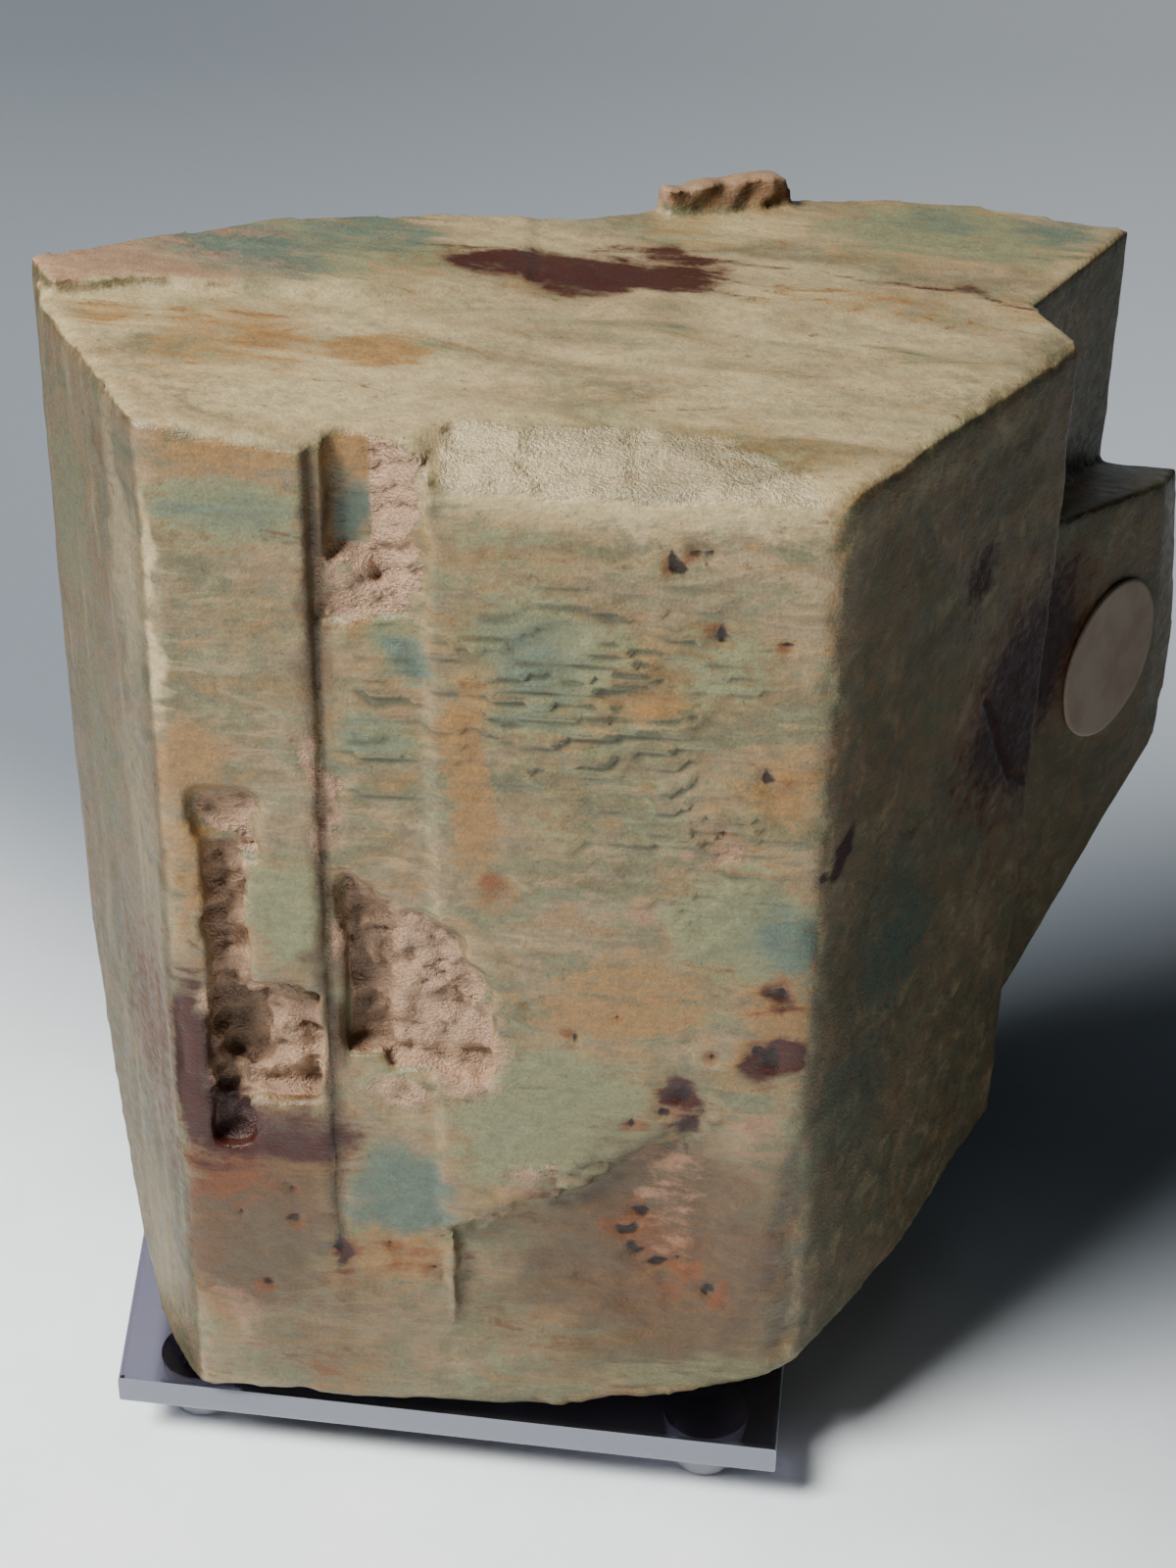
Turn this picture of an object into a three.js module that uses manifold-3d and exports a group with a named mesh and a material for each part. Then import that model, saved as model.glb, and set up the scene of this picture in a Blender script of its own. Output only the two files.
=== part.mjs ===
// A rough mineral specimen on a clear base, in millimetres, with +Z up.
// Blocky crystals of one mineral are grown together in one solid: a large prism in front, a second one
// behind its right side and a small one low on the right, which carries a blank round paper label.
// It rests on a flat patch of its broken underside, on a clear plate with a clear foot under each corner.
// The origin is on the surface that the feet stand on, below the middle of the specimen's bounding box.

import * as THREE from "three";
import { ConvexGeometry } from "three/addons/geometries/ConvexGeometry.js";
import { mergeVertices } from "three/addons/utils/BufferGeometryUtils.js";
import Module from "manifold-3d";

const wasm = await Module();
wasm.setup();

// The clear base. Headings are degrees from +X, seen from above, and heights are above a level 2 mm below
// the plate's underside.
const FOOT = { radius: 4, height: 4.6, top: 2, inset: 6.5 };
const PLATE = { corner: [-46.5, -27.2], width: 61.4, depth: 58, thickness: 3 };
const PLATE_EDGES = { front: -6.9, left: 92.4, right: 83.7 };
const GAP = 0.3;
const REST_HEIGHT = FOOT.top + PLATE.thickness + GAP;

// Plan of the two large crystals, walked from the front left corner, and the plane that cleaves off their tops.
const FRONT_LEFT = [-38.3, -29.4];
const LEFT = { heading: 118.3, width: 22.1 };
const FRONT = { heading: -2.7, width: 53.2 };
const RIGHT = { heading: 55.6, width: 38.5 };
const NOTCH = { heading: 114.9, width: 7.8 };
const SECOND = { heading: 59.7, width: 34 };
const TOP = { height: 100.9, slopeX: -0.07, slopeY: 0.0594 };
const BACK_LIMIT = 36;

// The broken back, seen from above, as [x, y].
const BACK_EDGE = [[-60, -8], [-50.2, -4.5], [-39.2, 4.6], [-30.6, 10.4], [-15.5, 15], [-7.7, 17],
  [1.9, 21.3], [13.7, 27.5], [31.2, 29.2], [44.5, 26.8], [58, 29]];

// A thin step that still covers the back left of the top, as [x, y], and its height above the cleaved plane.
const TERRACE_PLAN = [[-50.2, -4.5], [-47.8, -8.6], [-40.9, -5.6], [-29.1, -4.2], [-21, -3.4], [-10, 2],
  [-10, 20], [-50.2, 20]];
const TERRACE = { height: 0.3, slopeX: -0.026, from: -10 };

// The small crystal, from its label face: distances along that face, heights, and how far it reaches back.
const SMALL = { corner: [42.9, 12.0], heading: 49.5, back: 27 };
const LABEL = { radius: 8, thickness: 0.4, gap: 0.1, along: 4.2, height: 60.6 };

// The lump on the back edge of the top.
const LUMP = { size: [12.2, 6, 4.4], centre: [6.4, 24, 102.4], heading: 27.7 };

// How far a cutter reaches outside the face that it cuts.
const OUTSIDE = 3;

// Slivers and edges finer than this are closed up where cuts cross.
const FINEST = 0.04;

function radians(degrees) {
  return THREE.MathUtils.degToRad(degrees);
}

// The point at a distance along a heading, as [x, y].
function walk([x, y], heading, distance) {
  return [x + distance * Math.cos(radians(heading)), y + distance * Math.sin(radians(heading))];
}

// The height of a bent line at x, given its points in the order of x.
function along(points, x) {
  const next = Math.max(1, points.findIndex((point) => point[0] >= x));
  const last = x >= points[points.length - 1][0] ? points.length - 1 : next;
  const [x0, y0] = points[last - 1];
  const [x1, y1] = points[last];
  return THREE.MathUtils.mapLinear(THREE.MathUtils.clamp(x, x0, x1), x0, x1, y0, y1);
}

// A repeatable random number from -1 to 1 for a corner of the noise grid.
function lattice(i, j, seed) {
  let mixed = Math.imul(i, 374761393) ^ Math.imul(j, 668265263) ^ Math.imul(seed, 1442695041);
  mixed = Math.imul(mixed ^ (mixed >>> 13), 1274126177);
  return ((mixed ^ (mixed >>> 16)) >>> 0) / 2147483648 - 1;
}

// Smooth noise from -1 to 1.
function noise(x, y, seed) {
  const i = Math.floor(x);
  const j = Math.floor(y);
  const blendX = THREE.MathUtils.smoothstep(x - i, 0, 1);
  const blendY = THREE.MathUtils.smoothstep(y - j, 0, 1);
  const low = THREE.MathUtils.lerp(lattice(i, j, seed), lattice(i + 1, j, seed), blendX);
  const high = THREE.MathUtils.lerp(lattice(i, j + 1, seed), lattice(i + 1, j + 1, seed), blendX);
  return THREE.MathUtils.lerp(low, high, blendY);
}

// Turns a smooth value into flat treads with steep risers, as a mineral with good cleavage breaks.
function ledges(value, treads) {
  const scaled = value * treads;
  const tread = Math.floor(scaled);
  return (tread + THREE.MathUtils.smoothstep(scaled - tread, 0.3, 0.7)) / treads;
}

// Axes on a face: u along it, v up it and w out of it. A wall's axes come from a point and its heading.
function wallAxes([x, y], heading) {
  return new THREE.Matrix4().makeRotationZ(radians(heading))
    .multiply(new THREE.Matrix4().makeRotationX(Math.PI / 2))
    .setPosition(x, y, 0);
}

function solidOf(geometry, weld = 1e-4) {
  const bare = geometry.clone();
  bare.deleteAttribute("normal");
  bare.deleteAttribute("uv");
  const merged = mergeVertices(bare, weld);
  return new wasm.Manifold(new wasm.Mesh({
    numProp: 3,
    vertProperties: new Float32Array(merged.attributes.position.array),
    triVerts: new Uint32Array(merged.index.array),
  }));
}

function geometryOf(solid) {
  const mesh = solid.getMesh();
  const geometry = new THREE.BufferGeometry();
  geometry.setAttribute("position", new THREE.BufferAttribute(new Float32Array(mesh.vertProperties), 3));
  geometry.setIndex(new THREE.BufferAttribute(new Uint32Array(mesh.triVerts), 1));
  geometry.computeVertexNormals();
  return geometry;
}

// The main body of a solid, without the loose crumbs that cutting it leaves.
function largestBody(solid) {
  return solid.decompose().reduce((largest, body) => (body.volume() > largest.volume() ? body : largest));
}

function prism(points, bottom, top) {
  const shape = new THREE.Shape(points.map(([x, y]) => new THREE.Vector2(x, y)));
  const geometry = new THREE.ExtrudeGeometry(shape, { depth: top - bottom, bevelEnabled: false });
  return solidOf(geometry.translate(0, 0, bottom));
}

// A closed slab on a face. Its inner side follows relief(u, v), and its outer side is flat at w = outer.
// shift(u, v) moves its grid sideways, which makes its rim uneven.
function slab(axes, { left, right, bottom, top }, cell, outer, relief, shift = () => [0, 0]) {
  const columns = Math.max(1, Math.round((right - left) / cell));
  const rows = Math.max(1, Math.round((top - bottom) / cell));
  const positions = [];
  for (const inner of [true, false]) {
    for (let row = 0; row <= rows; row += 1) {
      for (let column = 0; column <= columns; column += 1) {
        const u = left + ((right - left) * column) / columns;
        const v = bottom + ((top - bottom) * row) / rows;
        const [du, dv] = shift(u, v);
        positions.push(u + du, v + dv, inner ? relief(u, v) : outer);
      }
    }
  }
  const across = columns + 1;
  const layer = across * (rows + 1);
  const index = [];
  const quad = (a, b, c, d) => index.push(a, b, c, a, c, d);
  for (let row = 0; row < rows; row += 1) {
    for (let column = 0; column < columns; column += 1) {
      const a = row * across + column;
      quad(a, a + across, a + across + 1, a + 1);
      quad(layer + a, layer + a + 1, layer + a + across + 1, layer + a + across);
    }
  }
  const last = rows * across;
  for (let column = 0; column < columns; column += 1) {
    quad(column, column + 1, layer + column + 1, layer + column);
    quad(last + column + 1, last + column, layer + last + column, layer + last + column + 1);
  }
  for (let row = 0; row < rows; row += 1) {
    const start = row * across;
    const end = start + columns;
    quad(start, layer + start, layer + start + across, start + across);
    quad(end + across, layer + end + across, layer + end, end);
  }
  const geometry = new THREE.BufferGeometry();
  geometry.setAttribute("position", new THREE.Float32BufferAttribute(positions, 3));
  geometry.setIndex(index);
  return solidOf(geometry.applyMatrix4(axes));
}

// A cavity in a face, with an uneven rim and a rough floor. lean is how far it drifts along u for each
// unit of v.
function cavity(axes, spec) {
  const { left, right, bottom, top, depth, cell = 1.6, rough = 0.3, rim = 0.2, lean = 0, seed = 1 } = spec;
  const floor = spec.floor ?? (() => 1);
  const relief = (u, v) => -depth * floor(u, v) - rough * noise(u / 1.9, v / 1.9, seed);
  const shift = (u, v) => [
    rim * noise(u / 2.3, v / 2.3, seed + 50) + lean * (v - bottom),
    rim * noise(u / 2.3, v / 2.3, seed + 90),
  ];
  return slab(axes, { left, right, bottom, top }, cell, OUTSIDE, relief, shift);
}

function topAt(x, y) {
  return TOP.height + TOP.slopeX * x + TOP.slopeY * y;
}

const frontRight = walk(FRONT_LEFT, FRONT.heading, FRONT.width);
const rightCorner = walk(frontRight, RIGHT.heading, RIGHT.width);
const notchCorner = walk(rightCorner, NOTCH.heading, NOTCH.width);
const leftCorner = walk(FRONT_LEFT, LEFT.heading, LEFT.width);
const frontFace = wallAxes(FRONT_LEFT, FRONT.heading);

// The two large crystals before they are broken: a prism cleaved off along a sloping plane.
function largeCrystals() {
  const plan = [FRONT_LEFT, frontRight, rightCorner, notchCorner,
    walk(notchCorner, SECOND.heading, SECOND.width), [BACK_EDGE[1][0], BACK_LIMIT], BACK_EDGE[1], leftCorner];
  const above = { left: -80, right: 80, bottom: -80, top: 80 };
  const flat = new THREE.Matrix4();
  const cleaved = prism(plan, 0, 130).subtract(slab(flat, above, 160, 160, topAt));
  const step = (x, y) => topAt(x, y) + TERRACE.height + TERRACE.slopeX * (x - TERRACE.from);
  return cleaved.add(prism(TERRACE_PLAN, 60, 130).subtract(slab(flat, above, 160, 160, step)));
}

// The small crystal: a block with a sloping top, an edge cut off below the label and a tapering underside.
function smallCrystal() {
  const onFace = (distance, height) => [...walk(SMALL.corner, SMALL.heading, distance), height];
  const corners = [
    onFace(-16, 80), onFace(11, 76.7), onFace(13, 62), onFace(13, 52.5), onFace(6.5, 48.6), onFace(-16, 22),
    [52.5, SMALL.back, 75.3], [54.4, SMALL.back, 57.5], [54.3, SMALL.back, 46.7], [45.9, SMALL.back, 27.3],
    [20, SMALL.back, 78], [20, SMALL.back, 20],
  ];
  return solidOf(new ConvexGeometry(corners.map((corner) => new THREE.Vector3(...corner))));
}

function lump() {
  const geometry = new THREE.BoxGeometry(...LUMP.size, 6, 3, 3);
  const place = geometry.attributes.position;
  for (let i = 0; i < place.count; i += 1) {
    const x = place.getX(i);
    const y = place.getY(i);
    const z = place.getZ(i);
    const round = 1 - 0.09 * Math.abs(x / 6.3) ** 3;
    place.setX(i, x + 0.5 * noise(y + 9, z, 7));
    place.setY(i, y * round + 0.7 * noise(x, z, 8));
    place.setZ(i, z * round + 0.6 * noise(x / 1.5, y / 2, 9));
  }
  return solidOf(geometry.rotateZ(radians(LUMP.heading)).translate(...LUMP.centre));
}

// The underside: flat where it rests, rising to the right, steeply at the lower left corner and rough all over.
function underside() {
  const toward = (x, y, from, heading) => {
    const angle = radians(heading);
    return (x - from[0]) * Math.cos(angle) + (y - from[1]) * Math.sin(angle);
  };
  const height = (x, y) => {
    const right = 0.42 * Math.max(0, toward(x, y, [0, 0], RIGHT.heading - 90) - 15);
    const back = 0.3 * Math.max(0, toward(x, y, frontRight, RIGHT.heading) - 20);
    const left = 40 * (Math.max(0, toward(x, y, FRONT_LEFT, 160) - 4) / 12.5) ** 3;
    const coarse = 1.6 * Math.max(0, ledges(noise(x / 8, y / 8, 21), 3));
    const fine = 0.9 * Math.max(0, noise(x / 3.1, y / 3.1, 22));
    return REST_HEIGHT + right + back + Math.min(left, 60) + coarse + fine;
  };
  const axes = new THREE.Matrix4().makeRotationX(Math.PI);
  return slab(axes, { left: -56, right: 58, bottom: -40, top: 40 }, 4.2, 20, (u, v) => -height(u, -v));
}

// The back: a broken surface with ledges, which keeps the line of the back edge at the top.
function brokenBack() {
  const relief = (u, v) => {
    const kept = THREE.MathUtils.smoothstep(v, 20, 97);
    const coarse = 3.4 * ledges(0.5 + 0.5 * noise(u / 13, v / 17, 31), 3) * (1 - 0.85 * kept);
    return along(BACK_EDGE, -u) - coarse - 0.6 * noise(u / 4, v / 5, 32);
  };
  const axes = new THREE.Matrix4().makeBasis(
    new THREE.Vector3(-1, 0, 0), new THREE.Vector3(0, 0, 1), new THREE.Vector3(0, 1, 0));
  return slab(axes, { left: -57, right: 58, bottom: -2, top: 112 }, 5.2, 50, relief);
}

// The front edge of the top, chipped back to a shallow slope, deepest beside the upper notch.
function chippedEdge() {
  const drop = [[-2, 0.1], [0, 0.2], [13, 0.9], [21, 1.1], [22.5, 2.9], [38, 1.8], [52, 0.35], [60, 0.1]];
  const reach = [[-2, 0.3], [0, 0.4], [13, 3.6], [21, 4], [23, 6.5], [38, 10], [60, 9]];
  const axes = new THREE.Matrix4().makeRotationZ(radians(FRONT.heading)).setPosition(...FRONT_LEFT, 0);
  const relief = (u, v) => {
    const [x, y] = walk(walk(FRONT_LEFT, FRONT.heading, u), FRONT.heading + 90, v);
    const share = 1 - v / along(reach, u);
    const chips = 0.35 * ledges(noise(u / 3.3, v / 2.6, 41), 2) * THREE.MathUtils.smoothstep(u, 20, 24);
    return topAt(x, y) - along(drop, u) * share - chips * THREE.MathUtils.smoothstep(share, -0.1, 0.3)
      + 3 * Math.max(0, -share - 0.02);
  };
  return slab(axes, { left: -2, right: 60, bottom: -2, top: 12 }, 2.1, 130, relief);
}

// The corner between the front and right faces, worn round low down.
function wornCorner() {
  const faded = (v) => THREE.MathUtils.smoothstep(v, 30, 46);
  const wear = (u, v) => -1.4 * (1 - faded(v)) + 0.3 - 0.3 * noise(u / 2, v / 3, 51);
  const axes = wallAxes(frontRight, (FRONT.heading + RIGHT.heading) / 2);
  return slab(axes, { left: -6, right: 6, bottom: 0, top: 47 }, 3, 4, wear);
}

// Grooves, steps and pits of the front face, by distance from its left edge and height above the table.
function frontCavities() {
  const crack = [[22, 25.5], [26.6, 28], [32, 31], [38.5, 35.3], [45, 40.8], [56, 42]];
  const hollow = (u, v) => {
    const below = THREE.MathUtils.smoothstep(along(crack, u) - v, -0.6, 1.2);
    const inside = THREE.MathUtils.smoothstep(v, 6, 24) * (1 - THREE.MathUtils.smoothstep(u, 40, 54));
    return 1.9 * below * inside - 0.5;
  };
  const stepped = (u, v) => {
    const ramp = THREE.MathUtils.mapLinear(u, 17.2, 22, 1, 0.3);
    return ramp + 0.22 * ledges(noise(u / 9, v / 1.3, 62), 2);
  };
  const overhang = [[18, 62.5], [24, 58.5], [27.5, 51]];
  const diagonal = (u, v) => THREE.MathUtils.clamp((along(overhang, u) - v) / 2.5, -0.8, 1);
  const wedge = (u, v) => THREE.MathUtils.clamp((68.5 - 0.62 * (u - 6) - v) / 2, -0.2, 1);
  const fading = (u, v) => THREE.MathUtils.smoothstep(v, 8, 34);
  return [
    { left: 13.8, right: 22.9, bottom: 8, top: 106, depth: 0.7, cell: 9, rough: 0, rim: 0, lean: -0.012, floor: fading },
    { left: 13.3, right: 14.1, bottom: 24, top: 106, depth: 1.5, cell: 3, rough: 0.2, rim: 0.15, lean: 0.008 },
    { left: 22.9, right: 23.7, bottom: 9, top: 28, depth: 0.9, cell: 2, rough: 0.3, rim: 0.3, lean: -0.05 },
    { left: 14, right: 17.5, bottom: 90.6, top: 106, depth: 2.7, cell: 4, rough: 0.1, rim: 0.1 },
    { left: 17.2, right: 21.9, bottom: 88, top: 106, depth: 2.5, cell: 1.1, rough: 0.15, floor: stepped },
    { left: 13.2, right: 22.1, bottom: 85.6, top: 91.4, depth: 1.3, cell: 1.3, rough: 0.5, rim: 0.4 },
    { left: 2.3, right: 8, bottom: 64, top: 70.6, depth: 1.1, cell: 1.2, rough: 0.7, rim: 0.8 },
    { left: 3.2, right: 6.3, bottom: 51, top: 65, depth: 2.2, cell: 1.1, rough: 1, rim: 0.6 },
    { left: 3, right: 12.4, bottom: 39.5, top: 51.8, depth: 2.6, cell: 1.2, rough: 1, rim: 0.6 },
    { left: 3.4, right: 7.6, bottom: 42.5, top: 49.6, depth: 3.9, cell: 1.4, rough: 0.4, rim: 0.2 },
    { left: 3, right: 6.2, bottom: 34.5, top: 41, depth: 1.4, cell: 1.4, rough: 0.8, rim: 0.6 },
    { left: 14.4, right: 18.4, bottom: 44.6, top: 63, depth: 3.4, cell: 1.8, rough: 0.3, rim: 0.25, floor: wedge },
    { left: 17.9, right: 26.8, bottom: 43, top: 64, depth: 1.7, cell: 1.3, rough: 0.6, rim: 0.6, floor: diagonal },
    { left: 23.5, right: 54, bottom: 9, top: 44, depth: 1, cell: 2.8, rough: 0.2, rim: 0, floor: hollow },
  ].map((spec, i) => cavity(frontFace, { seed: i + 1, ...spec }));
}

function crystalGeometry() {
  const grown = largeCrystals().add(smallCrystal()).add(lump());
  const cutters = [underside(), brokenBack(), chippedEdge(), wornCorner(), ...frontCavities()];
  const broken = cutters.reduce((solid, cutter) => solid.subtract(cutter), grown);
  const welded = solidOf(geometryOf(broken), FINEST).simplify(FINEST);
  return geometryOf(largestBody(solidOf(geometryOf(welded), FINEST / 3).simplify(FINEST)));
}

// The clear plate, with a fine bevel along every edge.
function plateGeometry(bevel = 0.4) {
  const frontLeft = PLATE.corner;
  const right = walk(frontLeft, PLATE_EDGES.front, PLATE.width);
  const backRight = walk(right, PLATE_EDGES.right, PLATE.depth);
  const backLeft = walk(frontLeft, PLATE_EDGES.left, PLATE.depth);
  const plan = [frontLeft, right, backRight, backLeft];
  const shape = new THREE.Shape(plan.map(([x, y]) => new THREE.Vector2(x, y)));
  const geometry = new THREE.ExtrudeGeometry(shape, {
    depth: PLATE.thickness - 2 * bevel,
    bevelThickness: bevel,
    bevelSize: bevel,
    bevelOffset: -bevel,
    bevelSegments: 2,
  });
  return { plan, geometry: geometry.translate(0, 0, FOOT.top + bevel) };
}

// A clear dome with a flat underside, stuck under the plate.
function footGeometry() {
  const { radius, height } = FOOT;
  const profile = [[0, 0], [0.55, 0], [0.72, 0.06], [0.88, 0.3], [0.97, 0.62], [1, 0.9], [1, 0.993], [0, 0.993]];
  const points = profile.map(([share, level]) => new THREE.Vector2(share * radius, level * height));
  return new THREE.LatheGeometry(points, 28).rotateX(Math.PI / 2);
}

function labelGeometry() {
  const disc = new THREE.CylinderGeometry(LABEL.radius, LABEL.radius, LABEL.thickness, 48).rotateX(Math.PI / 2);
  const axes = wallAxes(SMALL.corner, SMALL.heading);
  return disc.translate(LABEL.along, LABEL.height, LABEL.gap + LABEL.thickness / 2).applyMatrix4(axes);
}

function piece(name, geometry, colour, roughness, extra = {}) {
  const material = new THREE.MeshStandardMaterial({ color: colour, roughness, metalness: 0, ...extra });
  const mesh = new THREE.Mesh(geometry, material);
  mesh.name = name;
  return mesh;
}

function buildSpecimen() {
  const clear = { transparent: true, opacity: 0.35 };
  const plate = plateGeometry();
  const group = new THREE.Group();
  group.add(piece("crystal", crystalGeometry(), 0xa8a283, 0.55));
  group.add(piece("label", labelGeometry(), 0xc9b8a6, 0.8));
  group.add(piece("stand_plate", plate.geometry, 0xdfe6ee, 0.08, clear));
  const middle = new THREE.Vector2();
  plate.plan.forEach(([x, y]) => middle.add(new THREE.Vector2(x / 4, y / 4)));
  ["front_left", "front_right", "back_right", "back_left"].forEach((corner, i) => {
    const place = new THREE.Vector2(...plate.plan[i]);
    place.add(middle.clone().sub(place).setLength(FOOT.inset * Math.SQRT2));
    const foot = piece(`stand_foot_${corner}`, footGeometry(), 0xdfe6ee, 0.15, clear);
    foot.position.set(place.x, place.y, FOOT.top - FOOT.height);
    group.add(foot);
  });
  return group;
}

// Moves the specimen so that the origin is below the middle of its bounding box.
function centred(group) {
  const box = new THREE.Box3().setFromObject(group, true);
  const middle = box.getCenter(new THREE.Vector3());
  group.position.set(-middle.x, -middle.y, -box.min.z);
  return group;
}

export default centred(buildSpecimen());
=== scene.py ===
"""Looks of a rough mineral specimen on a clear base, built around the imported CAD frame.

Measures are millimetres in the part's design frame, in which the camera was solved: heights are above a
level 2 mm below the plate's underside. to_scene() turns them into the frame's metres.
"""

import math

import bmesh
import bpy
import numpy as np
from mathutils import Matrix, Vector


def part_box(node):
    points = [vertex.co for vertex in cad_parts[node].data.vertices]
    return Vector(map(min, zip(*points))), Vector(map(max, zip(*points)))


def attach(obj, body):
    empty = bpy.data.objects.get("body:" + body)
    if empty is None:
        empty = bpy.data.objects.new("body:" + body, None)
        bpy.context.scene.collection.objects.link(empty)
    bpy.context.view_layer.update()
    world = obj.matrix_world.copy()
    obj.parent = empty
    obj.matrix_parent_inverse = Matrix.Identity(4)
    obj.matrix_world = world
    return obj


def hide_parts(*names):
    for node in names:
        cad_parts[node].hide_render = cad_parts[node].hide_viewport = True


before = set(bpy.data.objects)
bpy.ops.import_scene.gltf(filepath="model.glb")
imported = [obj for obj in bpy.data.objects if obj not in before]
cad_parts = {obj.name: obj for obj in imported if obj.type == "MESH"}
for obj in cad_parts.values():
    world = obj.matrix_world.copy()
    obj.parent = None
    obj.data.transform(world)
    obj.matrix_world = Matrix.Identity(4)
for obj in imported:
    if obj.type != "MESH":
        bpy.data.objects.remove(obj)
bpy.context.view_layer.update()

MM = 0.001

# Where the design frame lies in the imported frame, from the lowest corner of the plate.
PLATE_LOW = Vector((-48.929, -34.577, 2.0))
OFFSET = Vector(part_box("stand_plate")[0]) / MM - PLATE_LOW

# The faces: a point at the start of each and its heading in degrees from +X, seen from above.
FRONT = ((-38.3, -29.4), -2.7)
FRONT_WIDTH = 53.2
LEFT = ((-38.3, -29.4), 118.3)
RIGHT_HEADING = 55.6
SMALL = ((42.9, 12.0), 49.5)

# The top's height above the design origin, and how much it rises for each millimetre along X and Y.
TOP_HEIGHT = 100.9
TOP_RISE_X = -0.07
TOP_RISE_Y = 0.0594

# Distances along the front face, and heights on it.
GROOVE_ALONG = 13.7
GROOVE_HALF_WIDTH = 0.9
STEP_ALONG = 22.2
NOTCH_RIGHT = 22.5
NOTCH_FOOT = 83
PITS_RIGHT = 28
PITS_FOOT = 33

# The camera, solved from the photograph's vertical edges and the angles between the faces.
CAMERA_PLACE = (-4.0, -210.0, 179.1)
CAMERA_PITCH = 30.745
CAMERA_ROLL = -1.3
CAMERA_LENS = 60.75

# The rebuilt surface: the size of its faces, and the most triangles it may have.
VOXEL = 0.5
MOST_TRIANGLES = 195000

# How far apart the thin lips on the front face are.
LIP_PERIOD = 1.35


def to_scene(x, y, z):
    """A place in the design frame, in the frame's metres."""
    return (Vector((x, y, z)) + OFFSET) * MM


def srgb(red, green, blue):
    """Linear colour from the 0 to 255 numbers that a picture shows."""
    values = np.array([red, green, blue]) / 255
    linear = np.where(values <= 0.04045, values / 12.92, ((values + 0.055) / 1.055) ** 2.4)
    return (*linear.tolist(), 1.0)


def smoothstep(value, low, high):
    """From 0 at low to 1 at high, with soft ends."""
    share = np.clip((value - low) / (high - low), 0, 1)
    return share * share * (3 - 2 * share)


# Repeatable noise for mesh work

def lattice(i, j, k, seed):
    """A random number from -1 to 1 for each corner of the noise grid."""
    mixed = (i * 374761393 + j * 668265263 + k * 2147483647 + seed * 1442695041) & 0xFFFFFFFF
    mixed = ((mixed ^ (mixed >> 13)) * 1274126177) & 0xFFFFFFFF
    mixed = ((mixed ^ (mixed >> 16)) * 2246822519) & 0xFFFFFFFF
    return (mixed ^ (mixed >> 15)) / 2147483648.0 - 1


def noise(points, scale, seed):
    """Smooth noise from -1 to 1 at points, whose features are about scale long on each axis."""
    places = points / np.broadcast_to(np.asarray(scale, float), (3,))
    cell = np.floor(places).astype(np.int64)
    part = places - cell
    blend = part * part * (3 - 2 * part)
    total = np.zeros(len(places))
    for i in (0, 1):
        for j in (0, 1):
            for k in (0, 1):
                weight = (blend[:, 0] if i else 1 - blend[:, 0])
                weight = weight * (blend[:, 1] if j else 1 - blend[:, 1])
                weight = weight * (blend[:, 2] if k else 1 - blend[:, 2])
                total += weight * lattice(cell[:, 0] + i, cell[:, 1] + j, cell[:, 2] + k, seed)
    return total


def fractal(points, scale, seed, octaves=3):
    """Noise from -1 to 1 with ever finer detail on top."""
    scale = np.broadcast_to(np.asarray(scale, float), (3,))
    total = np.zeros(len(points))
    for octave in range(octaves):
        total += noise(points, scale / 2 ** octave, seed + 17 * octave) / 2 ** octave
    return total / (2 - 2 ** (1 - octaves))


# Places on the faces. On the front face s is the distance along it, z the height, and out how far a place
# stands out of it. On any other face u and v stand for s and z.

def direction(heading):
    """The X and Y of a step of length 1 along a heading in degrees."""
    return math.cos(math.radians(heading)), math.sin(math.radians(heading))


def on_face(points, face):
    """Distance along a face, height, and distance out of it, for each point."""
    (x, y), heading = face
    along_x, along_y = direction(heading)
    dx = points[:, 0] - x
    dy = points[:, 1] - y
    return dx * along_x + dy * along_y, points[:, 2], dx * along_y - dy * along_x


def front_right():
    """The corner at which the front face ends and the right face starts."""
    along_x, along_y = direction(FRONT[1])
    return FRONT[0][0] + FRONT_WIDTH * along_x, FRONT[0][1] + FRONT_WIDTH * along_y


RIGHT = (front_right(), RIGHT_HEADING)
FACES = {"front": FRONT, "right": RIGHT, "left": LEFT, "small": SMALL}


def top_height(points):
    """The height of the flat top over each point."""
    return TOP_HEIGHT + TOP_RISE_X * points[:, 0] + TOP_RISE_Y * points[:, 1]


def blobs(u, v, spots):
    """Soft-edged spots, each (u, v, half width, half height, strength); the strongest one counts."""
    total = np.zeros(len(u))
    for centre_u, centre_v, half_u, half_v, strength in spots:
        apart = ((u - centre_u) / half_u) ** 2 + ((v - centre_v) / half_v) ** 2
        total = np.maximum(total, strength * np.exp(-0.7 * apart ** 1.4))
    return total


def line_distance(u, v, points):
    """Distance from each place to a bent line."""
    nearest = np.full(len(u), 1e9)
    for (u0, v0), (u1, v1) in zip(points, points[1:]):
        length = (u1 - u0) ** 2 + (v1 - v0) ** 2
        share = np.clip(((u - u0) * (u1 - u0) + (v - v0) * (v1 - v0)) / length, 0, 1)
        apart = np.hypot(u - u0 - share * (u1 - u0), v - v0 - share * (v1 - v0))
        nearest = np.minimum(nearest, apart)
    return nearest


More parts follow.
